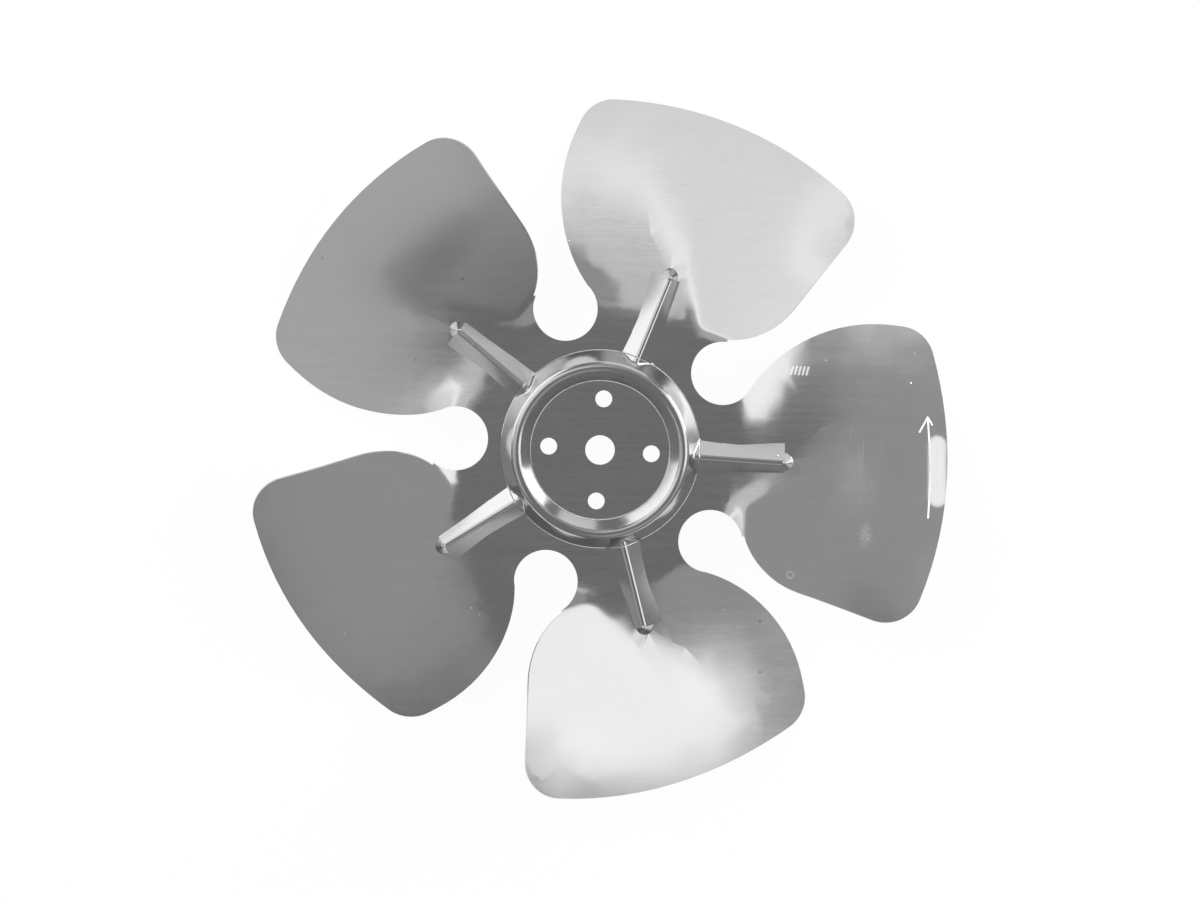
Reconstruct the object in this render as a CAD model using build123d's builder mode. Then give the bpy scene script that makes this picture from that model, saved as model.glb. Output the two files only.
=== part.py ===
"""Axial fan impeller: a hub, five blades and five stiffening ribs pressed from one aluminium sheet.

Origin: centre of the bore, on the underside of the hub disc. +Z is the fan axis, towards the
discharge side, where the hub ring and the ribs stand proud. +X runs along the first rib.
Seen from +Z the impeller turns counter-clockwise, with the low edge of each blade leading.
"""

from build123d import *
from math import cos, exp, hypot, pi, radians, sin, tan
import os

# ---------------------------------------------------------------- driving dimensions (mm, degrees)

blade_count = 5
fan_diameter = 170.0
sheet = 0.9                    # thickness of the sheet at the hub

# Hub disc and its holes
bore_diameter = 7.2
screw_hole_diameter = 4.1
screw_circle_diameter = 25.0
screw_count = 4
disc_radius = 17.0             # where the flat disc ends in a sharp edge

# Ring pressed up round the disc
ring_crest_radius = 20.6
ring_crest_height = 3.6        # apex of the ring above the disc, before it is rounded
ring_rounding = 1.8            # outside radius of the rounded crest
inner_crest_chamfer = 0.7      # keeps the sheet's thickness under the rounded crest
ring_foot_radius = 24.3        # where the ring meets the flat root plate
root_drop = 2.5                # root plate below the disc

# Root plate: a flat pentagon between the ring and the blades
fold_distance = 29.5           # from the axis to the straight line where each blade leaves it

# Round notches between the blades
notch_distance = 35.2
notch_radius = 7.8

# Ribs
rib_nose_distance = 48.8       # from the axis to the end of the nose
rib_width = 7.8
rib_apex_height = 3.1          # where the rib's two walls would meet, before rounding
rib_rounding = 1.2
rib_fall = 3.0                 # the rib follows the sheet down by this angle
rib_skirt = 3.0                # the rib is drawn from this far below the sheet, then trimmed
rib_root_rounding = 1.3        # where the rib's walls turn into the ring's wall

# Blade sheet
blade_thinning = 0.1          # lost in thickness where the sheet is drawn into a blade
root_pitch = 9.6               # angle of the blade across its chord, near the root
tip_pitch = 15.1               # the same at the tip, without the turned-up trailing part
outward_fall = 5.7             # slope of the blade's middle, down towards the tip
fold_softness = 5.0            # length over which the fold at the root plate is rounded
pitch_run = 9.0                # length over which the blade takes up its pitch
trailing_turn_root = 18.3      # how far the trailing part turns up, near the rib's nose
trailing_turn_tip = 7.4        # the same at the tip
bend_direction = 38.0          # of the bend line of the trailing part, from the rib
bend_start_x = 31.5            # start of the bend line, in the trailing notch
bend_start_y = -13.5
bend_softness = 2.0            # width of the bend at its start
bend_spread = 0.22             # how fast it widens outwards
bend_run = 4.0                 # length over which the turn grows from the root plate

# Blade outline, drawn on a plane at the blade's mean pitch
outline_pitch = 20.0
leading_edge_radius = 39.0
leading_centre_x = 69.4
leading_centre_y = -2.4
trailing_root_radius = 20.4
trailing_centre_x = 56.0
trailing_centre_y = -12.3
trailing_edge_angle = -16.4    # direction of the straight trailing edge, from the rib
leading_middle_angle = 125.0   # a point half way along the leading edge's arc
trailing_middle_angle = 225.0  # and along the trailing root's arc
leading_corner_radius = 8.4
trailing_corner_radius = 9.3

# ---------------------------------------------------------------- values that follow from them

fan_radius = fan_diameter / 2
step_angle = 360 / blade_count
root_top = sheet - root_drop
root_bottom = root_top - sheet
blade_sheet = sheet - blade_thinning
trim = sheet / 3               # overlap between pieces of sheet that are joined
margin = 6.0                   # how far the untrimmed blade surface runs past the tip
reach = fan_radius + margin
half_chord = 0.56 * fan_radius
depth = fan_radius / 2         # taller than any blade
grid_across = 18               # steps in which the blade's surface is drawn
grid_along = 16
surface_degree = 3
surface_tolerance = 0.03       # how closely the surface follows its steps


def softened(distance, softness):
    """A distance that starts off level, over about the given length."""
    return hypot(distance, softness) - softness


def blade_underside(x, y):
    """Height of the blade's lower face over a point; x runs along the rib, y to the leading edge."""
    out = max(x - fold_distance, 0)
    share = out / (fan_radius - fold_distance)
    pitch = tan(radians(root_pitch)) * (1 - exp(-((out / pitch_run) ** 2)))
    pitch += (tan(radians(tip_pitch)) - tan(radians(root_pitch))) * share
    fall = tan(radians(outward_fall)) * softened(out, fold_softness)

    from_start = hypot(x - bend_start_x, y - bend_start_y)
    beyond = (x - bend_start_x) * sin(radians(bend_direction))
    beyond -= (y - bend_start_y) * cos(radians(bend_direction))
    width = bend_softness + bend_spread * from_start
    turn_share = from_start / (fan_radius - bend_start_x)
    turn = tan(radians(trailing_turn_root)) * (1 - turn_share)
    turn += tan(radians(trailing_turn_tip)) * turn_share
    lift = turn * (beyond + hypot(beyond, width)) / 2 * (1 - exp(-((out / bend_run) ** 2)))
    return root_bottom + blade_thinning / 2 - fall - pitch * y + lift


# ---------------------------------------------------------------- hub: disc and ring

seam_direction = radians(step_angle / 2)         # between two ribs
hub_plane = Plane(
    origin=(0, 0, 0),
    x_dir=(cos(seam_direction), sin(seam_direction), 0),
    z_dir=(sin(seam_direction), -cos(seam_direction), 0),
)

with BuildSketch(hub_plane) as under_sheet:
    # All that lies under the lower face of the sheet, cut through the axis
    with BuildLine():
        Polyline(
            (-disc_radius, -depth),
            (-disc_radius, sheet),
            (disc_radius, sheet),
            (ring_crest_radius, sheet + ring_crest_height),
            (ring_foot_radius, root_top),
            (reach, root_top),
            (reach, -depth),
            close=True,
        )
    make_face()
    offset(amount=-sheet, kind=Kind.INTERSECTION)
    chamfer(under_sheet.vertices().sort_by(Axis.Y)[-1], inner_crest_chamfer)

with BuildPart() as hub:
    with BuildSketch(hub_plane) as hub_section:
        with BuildLine():
            Polyline(
                (0, root_bottom),
                (0, sheet),
                (disc_radius, sheet),
                (ring_crest_radius, sheet + ring_crest_height),
                (ring_foot_radius, root_top),
                (ring_foot_radius + sheet, root_top),
                (ring_foot_radius + sheet, root_bottom),
                close=True,
            )
        make_face()
        fillet(hub_section.vertices().sort_by(Axis.Y)[-1], ring_rounding)
        add(under_sheet.sketch, mode=Mode.SUBTRACT)
    revolve(axis=Axis.Z)

with BuildPart() as ring_hollow:
    with BuildSketch(hub_plane) as hollow_section:
        add(under_sheet.sketch)
        with Locations(((disc_radius + ring_foot_radius) / 2, 0)):
            Rectangle(ring_foot_radius - disc_radius, 2 * depth, mode=Mode.INTERSECT)
    revolve(axis=Axis.Z)

# ---------------------------------------------------------------- one blade

surface_start = fold_distance - sheet
across = [-half_chord + 2 * half_chord * step / grid_across for step in range(grid_across + 1)]
along = [
    surface_start + (reach - surface_start) * step / grid_along for step in range(grid_along + 1)
]
underside = Face.make_surface_from_array_of_points(
    [[Vector(x, y, blade_underside(x, y)) for y in across] for x in along],
    tol=surface_tolerance,
    min_deg=surface_degree,
    max_deg=2 * surface_degree,
)
blade_slab = extrude(underside, amount=blade_sheet, dir=(0, 0, 1))
below_blade = Pos(0, 0, trim) * extrude(underside, amount=depth, dir=(0, 0, -1))

blade_plane = Plane(
    origin=(0, 0, root_top),
    x_dir=(1, 0, 0),
    z_dir=(0, sin(radians(outline_pitch)), cos(radians(outline_pitch))),
)
tip_curve_radius = fan_radius / cos(radians(outline_pitch)) ** 2
notch_centre_x = notch_distance * cos(pi / blade_count)
notch_centre_y = notch_distance * sin(pi / blade_count)


def nearest(x, y, centre_x, centre_y, radius):
    """The point of a circle that lies nearest to (x, y)."""
    away = hypot(x - centre_x, y - centre_y)
    return (centre_x + radius * (x - centre_x) / away, centre_y + radius * (y - centre_y) / away)


def on_circle(centre_x, centre_y, radius, angle):
    """The point of a circle at an angle in degrees."""
    return (centre_x + radius * cos(radians(angle)), centre_y + radius * sin(radians(angle)))


leading_root = nearest(
    notch_centre_x, notch_centre_y, leading_centre_x, leading_centre_y, leading_edge_radius
)
leading_middle = on_circle(leading_centre_x, leading_centre_y, leading_edge_radius, leading_middle_angle)
leading_top = on_circle(leading_centre_x, leading_centre_y, leading_edge_radius, 90)
trailing_root = nearest(
    notch_centre_x, -notch_centre_y, trailing_centre_x, trailing_centre_y, trailing_root_radius
)
trailing_middle = on_circle(trailing_centre_x, trailing_centre_y, trailing_root_radius, trailing_middle_angle)
edge_start = on_circle(
    trailing_centre_x, trailing_centre_y, trailing_root_radius, trailing_edge_angle - 90
)
edge_run = fan_radius - edge_start[0]
edge_end = (fan_radius, edge_start[1] + edge_run * tan(radians(trailing_edge_angle)))

with BuildPart() as blade:
    with BuildSketch(blade_plane) as outline:
        with BuildLine():
            Polyline(
                leading_root,
                (notch_centre_x, notch_centre_y),
                (disc_radius, 0),
                (notch_centre_x, -notch_centre_y),
                trailing_root,
            )
            ThreePointArc(trailing_root, trailing_middle, edge_start)
            Polyline(edge_start, edge_end, (fan_radius, leading_top[1]), leading_top)
            ThreePointArc(leading_top, leading_middle, leading_root)
        make_face()
        with Locations((fan_radius - tip_curve_radius, 0)):
            Circle(tip_curve_radius, mode=Mode.INTERSECT)
        outer_corners = outline.vertices().sort_by(Axis.X)[-2:].sort_by(Axis.Y)
        fillet(outer_corners[0], trailing_corner_radius)
        fillet(outline.vertices().sort_by_distance(outer_corners[1])[0], leading_corner_radius)
    extrude(amount=depth, both=True)
    add(blade_slab, mode=Mode.INTERSECT)
    with BuildSketch(Plane.XY.offset(-depth)):
        with Locations((notch_centre_x, notch_centre_y), (notch_centre_x, -notch_centre_y)):
            Circle(notch_radius)
    extrude(amount=2 * depth, mode=Mode.SUBTRACT)

# ---------------------------------------------------------------- one rib

rib_plane = Plane(
    origin=(ring_foot_radius, 0, root_top),
    x_dir=(cos(radians(rib_fall)), 0, -sin(radians(rib_fall))),
    z_dir=(sin(radians(rib_fall)), 0, cos(radians(rib_fall))),
)
rib_length = rib_nose_distance - rib_width / 2 - ring_foot_radius
nose_centre = rib_plane.from_local_coords(Vector(rib_length, 0, 0))
nose_axis = Axis(nose_centre, rib_plane.z_dir)
section_plane = Plane(origin=nose_centre, x_dir=rib_plane.y_dir, z_dir=rib_plane.x_dir)
run_to_ring = rib_length + (ring_foot_radius - ring_crest_radius) * 0.85


wall_run = rib_width / 2 / rib_apex_height       # run of a wall for each unit it rises


def bead(inset, rounding=0):
    """A straight bead with two sloping walls and a round nose, its walls moved in by inset."""
    apex = rib_apex_height - inset * hypot(1, wall_run) / wall_run
    foot = (rib_skirt + apex) * wall_run
    with BuildPart() as body:
        with BuildSketch(section_plane) as section:
            with BuildLine():
                Polyline((-foot, -rib_skirt), (foot, -rib_skirt), (0, apex), close=True)
            make_face()
            if rounding:
                fillet(section.vertices().sort_by(Axis.Y)[-1], rounding)
        extrude(amount=-run_to_ring)
        with BuildSketch(section_plane):
            add(section.sketch)
            with Locations((foot, 0)):
                Rectangle(2 * foot, 4 * (rib_skirt + apex), mode=Mode.INTERSECT)
        revolve(axis=nose_axis)
    return body.part


rib = bead(0, rib_rounding)
channel = bead(sheet)

with BuildPart() as below_root:
    with BuildSketch(Plane.XY.offset(root_bottom + trim)):
        with Locations(((disc_radius + fold_distance) / 2, 0)):
            Rectangle(fold_distance - disc_radius, 4 * rib_width)
    extrude(amount=-depth)

with BuildPart() as petal:
    add(rib)
    add(below_root.part, mode=Mode.SUBTRACT)
    add(below_blade, mode=Mode.SUBTRACT)
    add(blade.part)

# ---------------------------------------------------------------- the whole pressing


def meets_ring(edge):
    """True for an edge that a rib's upper side makes with the outer wall of the ring."""
    middle = edge.position_at(0.5)
    share = (middle.Z - root_top) / (sheet + ring_crest_height - root_top)
    wall_radius = ring_foot_radius - share * (ring_foot_radius - ring_crest_radius)
    on_wall = abs(hypot(middle.X, middle.Y) - wall_radius) < trim / 10
    crossing = edge.geom_type in (GeomType.ELLIPSE, GeomType.BSPLINE)
    return on_wall and crossing and middle.Z > root_top + trim


with BuildPart() as impeller:
    add(hub.part)
    with BuildSketch(Plane.XY.offset(root_bottom)):
        RegularPolygon(
            fold_distance, blade_count, major_radius=False, rotation=step_angle / 2
        )
        Circle(ring_foot_radius + sheet, mode=Mode.SUBTRACT)
        with PolarLocations(notch_distance, blade_count, start_angle=step_angle / 2):
            Circle(notch_radius, mode=Mode.SUBTRACT)
    extrude(amount=sheet)
    with PolarLocations(0, blade_count):
        add(petal.part)
    fillet(impeller.edges().filter_by(meets_ring), rib_root_rounding)
    add(ring_hollow.part, mode=Mode.SUBTRACT)
    with PolarLocations(0, blade_count):
        add(channel, mode=Mode.SUBTRACT)
    with BuildSketch(Plane.XY.offset(-depth)):
        Circle(bore_diameter / 2)
        with PolarLocations(screw_circle_diameter / 2, screw_count):
            Circle(screw_hole_diameter / 2)
    extrude(amount=2 * depth, mode=Mode.SUBTRACT)

impeller.part.label = "impeller"
os.makedirs("parts", exist_ok=True)
export_step(impeller.part, "parts/impeller.step")
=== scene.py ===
"""Looks of an axial fan impeller: satin mill-finish aluminium with press marks and an arrow."""

import math
from collections import namedtuple

import bmesh
import bpy
from mathutils import Matrix, Vector


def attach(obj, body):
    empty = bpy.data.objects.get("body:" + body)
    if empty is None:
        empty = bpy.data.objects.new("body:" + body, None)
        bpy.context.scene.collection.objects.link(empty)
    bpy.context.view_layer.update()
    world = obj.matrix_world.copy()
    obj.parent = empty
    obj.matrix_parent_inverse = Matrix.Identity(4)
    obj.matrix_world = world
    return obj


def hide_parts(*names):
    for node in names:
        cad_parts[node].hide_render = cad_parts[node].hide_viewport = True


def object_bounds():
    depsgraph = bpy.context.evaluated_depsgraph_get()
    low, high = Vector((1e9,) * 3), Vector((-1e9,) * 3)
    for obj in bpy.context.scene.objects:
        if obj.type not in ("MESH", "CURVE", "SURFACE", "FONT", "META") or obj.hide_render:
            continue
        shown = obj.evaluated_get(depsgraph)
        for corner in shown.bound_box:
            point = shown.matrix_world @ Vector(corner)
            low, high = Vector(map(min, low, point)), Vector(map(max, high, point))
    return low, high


bl_info = {
    "name": "Pressed fan impeller",
    "version": (1, 0, 0),
    "blender": (4, 5, 0),
    "location": "3D View > Sidebar > Impeller",
    "description": "Dresses a pressed aluminium fan impeller and sets it on a studio floor",
    "category": "Object",
}

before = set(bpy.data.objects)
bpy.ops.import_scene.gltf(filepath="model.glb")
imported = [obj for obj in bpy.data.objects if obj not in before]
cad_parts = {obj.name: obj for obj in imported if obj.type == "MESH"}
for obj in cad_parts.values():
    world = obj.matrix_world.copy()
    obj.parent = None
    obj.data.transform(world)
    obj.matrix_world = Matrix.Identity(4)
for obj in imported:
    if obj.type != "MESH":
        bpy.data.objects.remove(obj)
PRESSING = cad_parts["impeller"]
CAD_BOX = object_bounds()
MM = 0.001

# The pressing, in millimetres and degrees; x runs along the marked rib and y to the leading edge
BLADES = 5
HUB_TOP = 0.9
DISC_EDGE = 17.0
RING_FOOT = 24.25
NOTCH_BEND = (36.0, -10.0)             # where the flat trailing part begins, by the notch
BEND_DIRECTION = 26.0                  # of its border, from the rib
TRAILING_TILT = (0.025, 0.358, 0.933)  # which way it faces
OUTLINE_SLANT = 0.36                   # of a line just outside the trailing root

# Marks on the marked blade, and dots on two others
ARROW_TAIL = (80.8, -10.6)
ARROW_MIDDLE = (80.9, 1.5)
ARROW_TIP = (79.5, 13.1)
ARROW_BARBS = ((77.7, 9.5), (80.7, 11.4))
ROLLED_TIP = ((82.2, 6.6), (82.8, -5.6))
PUNCH = (48.1, -26.2)
PUNCH_RADIUS = 0.75
FIRST_RUB = (45.2, 21.4)
RUB_LENGTHS = (1.6, 1.8, 1.8, 1.8, 1.8)
RUB_STEP = 0.95
RUB_LEAN = 0.4
HAIR_PATCH = (64.2, 2.5)
HAZE = (62.5, -1.5)
SMUDGE = (65.7, -15.6)
NICKS = (60.0, 29.0)
DARK_DOTS = ((-36.2, 39.0), (42.5, -40.5), (43.5, -53.3))


# ------------------------------------------------------------------ shader graphs


class Signal:
    """A value in a material. Sums and products written with it become Math nodes."""

    def __init__(self, graph, socket):
        self.graph = graph
        self.socket = socket

    def _math(self, operation, first, second=None):
        values = {0: first} if second is None else {0: first, 1: second}
        return self.graph.node("ShaderNodeMath", {"operation": operation}, values)

    def __add__(self, other):
        return self._math("ADD", self, other)

    __radd__ = __add__

    def __sub__(self, other):
        return self._math("SUBTRACT", self, other)

    def __mul__(self, other):
        return self._math("MULTIPLY", self, other)

    def __truediv__(self, other):
        return self._math("DIVIDE", self, other)

    def __pow__(self, other):
        return self._math("POWER", self, other)

    def __abs__(self):
        return self._math("ABSOLUTE", self)

    def highest(self, other):
        return self._math("MAXIMUM", self, other)

    def lowest(self, other):
        return self._math("MINIMUM", self, other)


class Graph:
    """Nodes of one material or world."""

    def __init__(self, tree):
        self.tree = tree
        tree.nodes.clear()

    def node(self, kind, settings=None, values=None, output=0):
        made = self.tree.nodes.new(kind)
        for name, setting in (settings or {}).items():
            setattr(made, name, setting)
        for name, value in (values or {}).items():
            if isinstance(value, Signal):
                self.tree.links.new(value.socket, made.inputs[name])
            else:
                made.inputs[name].default_value = value
        return Signal(self, made.outputs[output]) if made.outputs else None

    def fade(self, value, start, end, low=0.0, high=1.0):
        """A smooth step of value from low at start to high at end."""
        return self.node(
            "ShaderNodeMapRange",
            {"interpolation_type": "SMOOTHSTEP"},
            {"Value": value, "From Min": start, "From Max": end, "To Min": low, "To Max": high},
        )

    def noise(self, place, scale, detail=2.0, roughness=0.5):
        return self.node(
            "ShaderNodeTexNoise",
            {},
            {"Vector": place, "Scale": scale, "Detail": detail, "Roughness": roughness},
        )


class Blade:
    """Flat coordinates over the marked blade, in millimetres, for marks in its upper face."""

    def __init__(self, graph, x, y):
        self.graph = graph
        self.x = x
        self.y = y

    def from_line(self, start, end):
        """Distance from the straight line between two points."""
        run_x, run_y = end[0] - start[0], end[1] - start[1]
        length = math.hypot(run_x, run_y)
        off_x, off_y = self.x - start[0], self.y - start[1]
        along = (off_x * (run_x / length) + off_y * (run_y / length)).highest(0.0).lowest(length)
        gap_x = off_x - along * (run_x / length)
        gap_y = off_y - along * (run_y / length)
        return (gap_x * gap_x + gap_y * gap_y) ** 0.5

    def from_point(self, point, stretch=1.0):
        """Distance from a point, with distances along y divided by stretch."""
        off_x, off_y = self.x - point[0], (self.y - point[1]) / stretch
        return (off_x * off_x + off_y * off_y) ** 0.5


# ------------------------------------------------------------------ settings


class SheetSettings(bpy.types.PropertyGroup):
    metal: bpy.props.FloatVectorProperty(
        name="Metal", description="Colour of the bare aluminium", subtype="COLOR", size=3,
        min=0, max=1, default=(0.62, 0.62, 0.618),
    )
    satin: bpy.props.FloatProperty(
        name="Satin", description="Roughness of the rolled surface",
        subtype="FACTOR", default=0.18, min=0.05, max=1,
    )
    rolling_turn: bpy.props.FloatProperty(
        name="Rolling direction", description="Direction of the rolling lines, from the marked rib",
        subtype="ANGLE", default=math.radians(4.25),
    )
    rolling_width: bpy.props.FloatProperty(
        name="Rolling line width", description="Width of one rolling line",
        subtype="DISTANCE", unit="LENGTH", default=0.35 * MM,
    )
    rolling_depth: bpy.props.FloatProperty(
        name="Rolling line depth", description="Depth of the rolling lines",
        subtype="DISTANCE", unit="LENGTH", default=0.004 * MM,
    )
    crease: bpy.props.FloatProperty(
        name="Crease angle", description="Edges that turn by more than this stay sharp",
        subtype="ANGLE", default=math.radians(24),
    )


class MarkSettings(bpy.types.PropertyGroup):
    arrow_width: bpy.props.FloatProperty(
        name="Arrow width", description="Width of the stamped line",
        subtype="DISTANCE", unit="LENGTH", default=0.42 * MM,
    )
    arrow_slope: bpy.props.FloatProperty(
        name="Arrow slope", description="How far a stamped or scraped line leans towards the tip",
        subtype="FACTOR", min=0, max=1, default=0.6,
    )


class StageSettings(bpy.types.PropertyGroup):
    floor_size: bpy.props.FloatProperty(
        name="Floor size", description="Side of the floor",
        subtype="DISTANCE", unit="LENGTH", default=8.0,
    )
    floor_colour: bpy.props.FloatVectorProperty(
        name="Floor colour", description="Colour of the floor", subtype="COLOR", size=3,
        min=0, max=1, default=(0.9, 0.9, 0.9),
    )
    floor_glow: bpy.props.FloatProperty(
        name="Floor glow", description="Strength of the plain white that shows in the floor",
        subtype="FACTOR", min=0, default=1.08,
    )
    floor_glow_share: bpy.props.FloatProperty(
        name="Glow share", description="Share of that white; the rest is paint, which takes a shadow",
        subtype="FACTOR", min=0, max=1, default=0.85,
    )
    room: bpy.props.FloatProperty(
        name="Room light", description="Strength of the even light from all round",
        subtype="FACTOR", default=0.23, min=0,
    )
    lamp_distance: bpy.props.FloatProperty(
        name="Lamp distance", description="From the middle of the hub to each softbox",
        subtype="DISTANCE", unit="LENGTH", default=1.0,
    )
    camera_distance: bpy.props.FloatProperty(
        name="Camera distance", description="From the middle of the hub",
        subtype="DISTANCE", unit="LENGTH", default=0.8016,
    )
    camera_turn: bpy.props.FloatProperty(
        name="Camera turn", description="Turn of the camera about the fan's axis",
        subtype="ANGLE", default=math.radians(4.25),
    )
    camera_side: bpy.props.FloatProperty(
        name="Camera side", description="Side of the axis on which the camera stands",
        subtype="ANGLE", default=math.radians(84),
    )
    camera_lean: bpy.props.FloatProperty(
        name="Camera lean", description="Distance from the axis as a share of the height",
        subtype="FACTOR", min=0, max=1, default=0.10,
    )
    camera_lens: bpy.props.FloatProperty(
        name="Lens", description="Focal length on a 36 mm sensor", unit="CAMERA", default=99.0,
    )


# ------------------------------------------------------------------ materials


def rolled_surface(graph, place, settings):
    """Fine broken lines along the rolling direction, grain, and slow cloudiness."""
    turned = graph.node(
        "ShaderNodeMapping",
        {"vector_type": "POINT"},
        {"Vector": place, "Rotation": (0, 0, -settings.rolling_turn)},
    )
    short = graph.node("ShaderNodeMapping", {}, {"Vector": turned, "Scale": (0.11, 1.0, 0.3)})
    long = graph.node("ShaderNodeMapping", {}, {"Vector": turned, "Scale": (0.04, 1.0, 0.3)})
    line_scale = 1 / settings.rolling_width
    fine = graph.noise(short, line_scale, 3.0, 0.6)
    broad = graph.noise(long, line_scale / 5, 2.0, 0.5)
    grain = graph.noise(place, line_scale, 2.0, 0.6)
    cloud = graph.noise(place, 45.0, 3.0, 0.55)
    return fine * 0.6 + broad * 0.4, grain, cloud


def arrow_groove(graph, blade, marks):
    """Two shaft strokes and two barbs that show the turning direction."""
    arrow = blade.from_line(ARROW_TAIL, ARROW_MIDDLE)
    arrow = arrow.lowest(blade.from_line(ARROW_MIDDLE, ARROW_TIP))
    for barb in ARROW_BARBS:
        arrow = arrow.lowest(blade.from_line(ARROW_TIP, barb))
    half_width = marks.arrow_width / MM / 2
    return graph.fade(arrow, half_width * 0.4, half_width * 1.3, 1.0, 0.0)


def short_rubs(graph, blade):
    """A row of short strokes by the leading root."""
    start_x, start_y = FIRST_RUB
    nearest = None
    for length in RUB_LENGTHS:
        rub = blade.from_line((start_x, start_y), (start_x + RUB_LEAN, start_y + length))
        nearest = rub if nearest is None else nearest.lowest(rub)
        start_x += RUB_STEP
    return graph.fade(nearest, 0.1, 0.4, 0.5, 0.0)


def creases(graph, x, y):
    """Narrow lines where the disc ends and where the ring meets the root plate: a shallow groove in
    the relief, and a painted highlight in the colour where the tight bends catch the light.
    """
    out = (x * x + y * y) ** 0.5
    disc = graph.fade(abs(out - DISC_EDGE), 0.06, 0.20, 1.0, 0.0)
    return disc.highest(graph.fade(abs(out - RING_FOOT), 0.05, 0.17, 0.8, 0.0))


def hair_scratches(graph, place, blade):
    """Upright hair scratches in a patch beyond the rib, only where the noise is strong."""
    patch = graph.fade(blade.from_point(HAIR_PATCH, 2.4), 2.5, 6.0, 1.0, 0.0)
    drawn = graph.node("ShaderNodeMapping", {}, {"Vector": place, "Scale": (1.0, 0.03, 0.03)})
    return graph.fade(graph.noise(drawn, 2600.0, 1.0), 0.62, 0.72) * patch


def dull_patches(graph, blade, grain, cloud):
    """A broad dull patch beyond the rib and a small smudge towards the trailing edge."""
    haze = graph.fade(blade.from_point(HAZE, 1.4), 1.0, 10.0, 1.0, 0.0)
    smudge = graph.fade(blade.from_point(SMUDGE, 1.8), 0.4, 2.6, 1.0, 0.0)
    haze = haze * graph.fade(cloud, 0.35, 0.6)
    return haze.highest(smudge * graph.fade(grain, 0.4, 0.55) * 2.0)


def dark_dots(graph, blade):
    """Single dark dots, away from the marked blade."""
    dots = blade.from_point(DARK_DOTS[0])
    for place in DARK_DOTS[1:]:
        dots = dots.lowest(blade.from_point(place))
    return graph.fade(dots, 0.15, 0.5, 0.3, 0.0)


def specks(graph, place, blade):
    """Bright specks, sparse over the sheet and closer together round the nicks."""
    pits = graph.node(
        "ShaderNodeTexVoronoi", {"feature": "F1"}, {"Vector": place, "Scale": 260.0}
    )
    nicked = graph.fade(blade.from_point(NICKS), 2.0, 8.0, 0.10, 0.0)
    few = graph.fade(graph.noise(place, 130.0, 1.0) + nicked, 0.60, 0.64)
    return graph.fade(pits, 0.03, 0.10, 1.0, 0.0) * few


def flattened(graph, normal, x, y, on_top):
    """Leans the shading of each blade's trailing root to the way its flat trailing part faces."""
    start_x, start_y = NOTCH_BEND
    bend = math.radians(BEND_DIRECTION)
    for step in range(BLADES):
        turn = math.tau / BLADES * step
        along = x * math.cos(turn) + y * math.sin(turn)
        across = y * math.cos(turn) - x * math.sin(turn)
        below_bend = (along - start_x) * math.sin(bend) - (across - start_y) * math.cos(bend)
        flat = graph.fade(below_bend, -1.5, 3.0) * graph.fade(along, 34.0, 38.0)
        flat = flat * graph.fade(along, 52.0, 66.0, 1.0, 0.0) * on_top
        flat = flat * graph.fade(across + along * OUTLINE_SLANT, -17.0, -15.0)
        tilt = Vector(TRAILING_TILT)
        tilt.rotate(Matrix.Rotation(turn, 3, "Z"))
        normal = graph.node(
            "ShaderNodeMix", {"data_type": "VECTOR"}, {0: flat, 4: normal, 5: tuple(tilt)}, output=1
        )
    return graph.node("ShaderNodeVectorMath", {"operation": "NORMALIZE"}, {0: normal})


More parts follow.
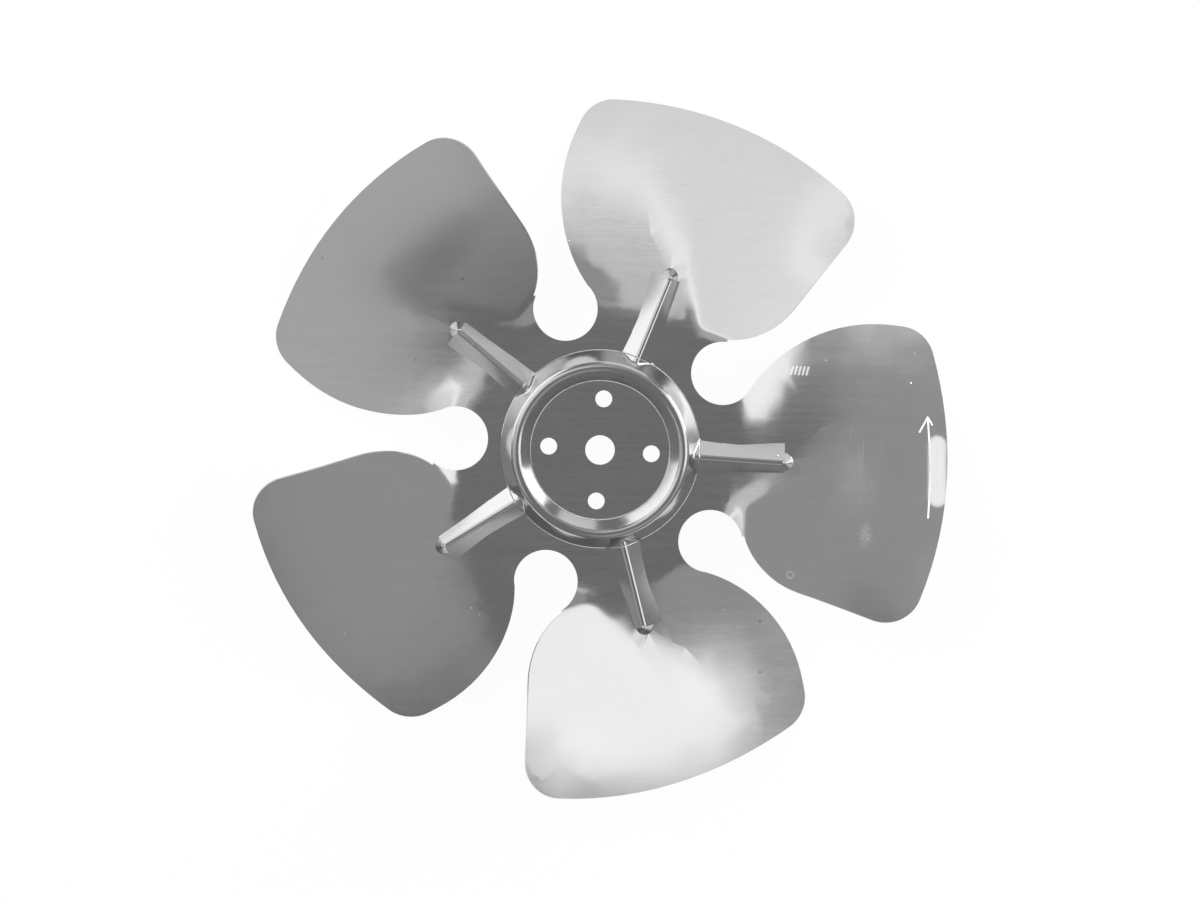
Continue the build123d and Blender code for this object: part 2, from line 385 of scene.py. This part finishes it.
def aluminium(settings, marks):
    """Bare rolled sheet with an arrow, a punch mark and light wear on its upper face."""
    material = bpy.data.materials.new("mill_finish_aluminium")
    material.use_nodes = True
    graph = Graph(material.node_tree)

    place = graph.node("ShaderNodeTexCoord", output=3)
    lines, grain, cloud = rolled_surface(graph, place, settings)
    apart = graph.node("ShaderNodeSeparateXYZ", {}, {"Vector": place})
    x = Signal(graph, apart.socket.node.outputs["X"]) / MM
    y = Signal(graph, apart.socket.node.outputs["Y"]) / MM
    facing = graph.node("ShaderNodeNewGeometry", output=1)
    upward = graph.node("ShaderNodeSeparateXYZ", {}, {"Vector": facing}, output=2)
    on_top = graph.fade(upward, 0.3, 0.6)
    blade = Blade(graph, x, y)

    groove = arrow_groove(graph, blade, marks) * on_top
    punch = graph.fade(abs(blade.from_point(PUNCH) - PUNCH_RADIUS), 0.1, 0.45, 1.0, 0.0) * on_top
    rub = short_rubs(graph, blade) * on_top
    hair = hair_scratches(graph, place, blade) * on_top
    haze = dull_patches(graph, blade, grain, cloud)
    dot = dark_dots(graph, blade) * on_top
    speck = specks(graph, place, blade) * on_top
    crease = creases(graph, x, y) * on_top
    rolled = graph.fade(blade.from_line(*ROLLED_TIP), 0.0, 3.4, 1.0, 0.0) * on_top

    # Colour: lines show most where the sheet lies level, and scraped metal of the punch, rubs and
    # hair scratches is brighter
    # The arrow and the crease lines are also painted towards white: a painted highlight where their
    # bends catch the lamps
    wear_and_painted_highlight = (groove * 0.9).highest(punch * 0.35).highest(rub * 0.5)
    wear_and_painted_highlight = wear_and_painted_highlight.highest(hair * 0.3).highest(speck * 0.7).highest(crease * 0.3)
    level = graph.fade(upward, 0.93, 0.985)
    tone = 0.94 + (lines - 0.5) * (level * 0.24 + 0.10)
    tone = tone + (cloud - 0.5) * 0.08 + haze * 0.09 - dot
    base = graph.node(
        "ShaderNodeMix",
        {"data_type": "RGBA", "blend_type": "MULTIPLY"},
        {0: 1.0, 6: (*settings.metal, 1), 7: tone},
        output=2,
    )
    colour = graph.node(
        "ShaderNodeMix",
        {"data_type": "RGBA"},
        {0: wear_and_painted_highlight, 6: base, 7: (1, 1, 1, 1)},
        output=2,
    )

    rough = settings.satin + (lines - 0.5) * 0.10 + (cloud - 0.5) * 0.05
    rough = rough + wear_and_painted_highlight * 0.35 + haze * 0.12 + rolled * 0.08

    # Relief: bumps for the shallow marks, and a plain lean where a mark has one sloping side
    height = lines * (settings.rolling_depth / MM) + (grain - 0.5) * 0.0015
    height = height - punch * 0.03 - hair * 0.003 - crease * 0.05
    bump = graph.node("ShaderNodeBump", {}, {"Strength": 1.0, "Distance": MM, "Height": height})
    sloping = (groove + crease + rub * 0.25 + speck) * marks.arrow_slope
    lean = graph.node(
        "ShaderNodeCombineXYZ", {}, {"X": sloping + rolled * 0.26, "Y": rolled * -0.24}
    )
    leaning = graph.node("ShaderNodeVectorMath", {"operation": "ADD"}, {0: bump, 1: lean})
    normal = flattened(graph, leaning, x, y, on_top)

    shader = graph.node(
        "ShaderNodeBsdfPrincipled",
        {},
        {"Base Color": colour, "Metallic": 1.0, "Roughness": rough, "Normal": normal},
    )
    graph.node("ShaderNodeOutputMaterial", {}, {"Surface": shader})
    return material


def floor_paint(settings):
    """Matt white, seen as plain white while it still takes a faint shadow."""
    material = bpy.data.materials.new("studio_floor")
    material.use_nodes = True
    graph = Graph(material.node_tree)
    seen = graph.node("ShaderNodeLightPath")
    outputs = seen.socket.node.outputs
    shown = Signal(graph, outputs["Is Camera Ray"])
    shown = shown.highest(Signal(graph, outputs["Is Glossy Ray"]))
    shown = shown.highest(Signal(graph, outputs["Is Transmission Ray"]))
    paint = graph.node("ShaderNodeBsdfDiffuse", {}, {"Color": (*settings.floor_colour, 1)})
    glow = graph.node(
        "ShaderNodeEmission", {}, {"Color": (1, 1, 1, 1), "Strength": settings.floor_glow}
    )
    mixed = graph.node(
        "ShaderNodeMixShader", {}, {0: shown * settings.floor_glow_share, 1: paint, 2: glow}
    )
    graph.node("ShaderNodeOutputMaterial", {}, {"Surface": mixed})
    return material


# ------------------------------------------------------------------ pieces


def keep(mesh, name, material):
    """Puts a finished mesh in the scene with its material."""
    made = bpy.data.objects.new(name, mesh)
    bpy.context.scene.collection.objects.link(made)
    mesh.materials.clear()
    mesh.materials.append(material)
    return made


class IMPELLER_OT_pressing(bpy.types.Operator):
    """Merge the pressed sheet into one smooth skin and give it its aluminium"""

    bl_idname = "impeller.pressing"
    bl_label = "Pressed sheet"

    def execute(self, context):
        settings = context.scene.impeller_sheet
        skin = bmesh.new()
        skin.from_mesh(PRESSING.data)
        if not skin.faces:
            raise RuntimeError("the pressed sheet has no faces")
        bmesh.ops.remove_doubles(skin, verts=skin.verts, dist=0.002 * MM)
        bmesh.ops.dissolve_degenerate(skin, edges=skin.edges, dist=0.002 * MM)
        mesh = bpy.data.meshes.new("pressed_sheet")
        skin.to_mesh(mesh)
        skin.free()
        for name in [a.name for a in mesh.attributes if a.name == "custom_normal"]:
            mesh.attributes.remove(mesh.attributes[name])
        mesh.shade_smooth()
        mesh.set_sharp_from_angle(angle=settings.crease)
        piece = keep(mesh, "pressed_sheet", aluminium(settings, context.scene.impeller_marks))
        weighted = piece.modifiers.new("even_normals", "WEIGHTED_NORMAL")
        weighted.keep_sharp = True
        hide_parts("impeller")
        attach(piece, "root")
        return {"FINISHED"}


# Softboxes round the part: azimuth and height above the floor in degrees, width and depth in
# metres, radiance of the face. The low ones light the steep walls of the ring and ribs.
Softbox = namedtuple("Softbox", "name azimuth height width depth radiance")
SOFTBOXES = (
    Softbox("right", 11, 43, 0.76, 0.60, 1.25),
    Softbox("left", 150, 44, 0.60, 0.55, 0.87),
    Softbox("back", 200, 42, 0.60, 0.55, 0.39),
    Softbox("top", 145, 68, 0.75, 0.45, 0.60),
    Softbox("window", 78, 46, 0.75, 0.60, 0.20),
    Softbox("front", 308, 46, 1.00, 0.60, 0.21),
    Softbox("low_right", 28, 14, 0.55, 0.50, 2.50),
    Softbox("low_window", 75, 14, 0.60, 0.50, 0.70),
    Softbox("low_left", 150, 14, 1.20, 0.50, 1.40),
)


class IMPELLER_OT_stage(bpy.types.Operator):
    """Set the floor, the softboxes, the even room light and the camera"""

    bl_idname = "impeller.stage"
    bl_label = "Studio"

    def execute(self, context):
        settings = context.scene.impeller_stage
        lowest = CAD_BOX[0][2]
        ground = bmesh.new()
        bmesh.ops.create_grid(ground, x_segments=1, y_segments=1, size=settings.floor_size / 2)
        bmesh.ops.translate(ground, verts=ground.verts, vec=(0, 0, lowest))
        mesh = bpy.data.meshes.new("floor")
        ground.to_mesh(mesh)
        ground.free()
        keep(mesh, "floor", floor_paint(settings))

        for softbox in SOFTBOXES:
            lamp = bpy.data.lights.new("softbox_" + softbox.name, "AREA")
            lamp.shape = "RECTANGLE"
            lamp.size = softbox.width
            lamp.size_y = softbox.depth
            lamp.energy = softbox.radiance * math.pi * softbox.width * softbox.depth
            box = bpy.data.objects.new("softbox_" + softbox.name, lamp)
            around, above = math.radians(softbox.azimuth), math.radians(softbox.height)
            level = math.cos(above)
            direction = Vector((level * math.cos(around), level * math.sin(around), math.sin(above)))
            box.location = direction * settings.lamp_distance
            box.rotation_euler = direction.to_track_quat("Z", "Y").to_euler()
            context.scene.collection.objects.link(box)

        world = bpy.data.worlds.new("room")
        world.use_nodes = True
        graph = Graph(world.node_tree)
        even = graph.node(
            "ShaderNodeBackground", {}, {"Color": (1, 1, 1, 1), "Strength": settings.room}
        )
        graph.node("ShaderNodeOutputWorld", {}, {"Surface": even})
        context.scene.world = world

        turn, side, lean = settings.camera_turn, settings.camera_side, settings.camera_lean
        right = Vector((math.cos(turn), math.sin(turn), 0))
        up = Vector((-math.sin(turn), math.cos(turn), 0))
        away = right * lean * math.cos(side) + up * lean * math.sin(side) + Vector((0, 0, 1))
        away.normalize()
        across = (right - away * right.dot(away)).normalized()
        upright = away.cross(across)
        camera = bpy.data.cameras.new("camera")
        camera.lens = settings.camera_lens
        camera.sensor_width = 36
        camera.clip_start = 0.01
        holder = bpy.data.objects.new("camera", camera)
        middle = Vector((0, 0, HUB_TOP * MM))
        facing = Matrix((across, upright, away)).transposed().to_4x4()
        holder.matrix_world = Matrix.Translation(middle + away * settings.camera_distance) @ facing
        context.scene.collection.objects.link(holder)
        context.scene.camera = holder
        context.scene.view_settings.view_transform = "Standard"
        return {"FINISHED"}


class IMPELLER_PT_sidebar(bpy.types.Panel):
    """Sizes and finishes of the impeller"""

    bl_idname = "IMPELLER_PT_sidebar"
    bl_label = "Impeller"
    bl_space_type = "VIEW_3D"
    bl_region_type = "UI"
    bl_category = "Impeller"

    def draw(self, context):
        scene = context.scene
        for group in (scene.impeller_sheet, scene.impeller_marks, scene.impeller_stage):
            box = self.layout.box()
            for name in group.__annotations__:
                box.prop(group, name)
        self.layout.operator(IMPELLER_OT_pressing.bl_idname)
        self.layout.operator(IMPELLER_OT_stage.bl_idname)


CLASSES = (
    SheetSettings,
    MarkSettings,
    StageSettings,
    IMPELLER_OT_pressing,
    IMPELLER_OT_stage,
    IMPELLER_PT_sidebar,
)


def register():
    for kind in CLASSES:
        bpy.utils.register_class(kind)
    bpy.types.Scene.impeller_sheet = bpy.props.PointerProperty(type=SheetSettings)
    bpy.types.Scene.impeller_marks = bpy.props.PointerProperty(type=MarkSettings)
    bpy.types.Scene.impeller_stage = bpy.props.PointerProperty(type=StageSettings)


def unregister():
    del bpy.types.Scene.impeller_stage
    del bpy.types.Scene.impeller_marks
    del bpy.types.Scene.impeller_sheet
    for kind in reversed(CLASSES):
        bpy.utils.unregister_class(kind)


def main():
    register()
    bpy.ops.impeller.pressing()
    bpy.ops.impeller.stage()


if __name__ == "__main__":
    main()
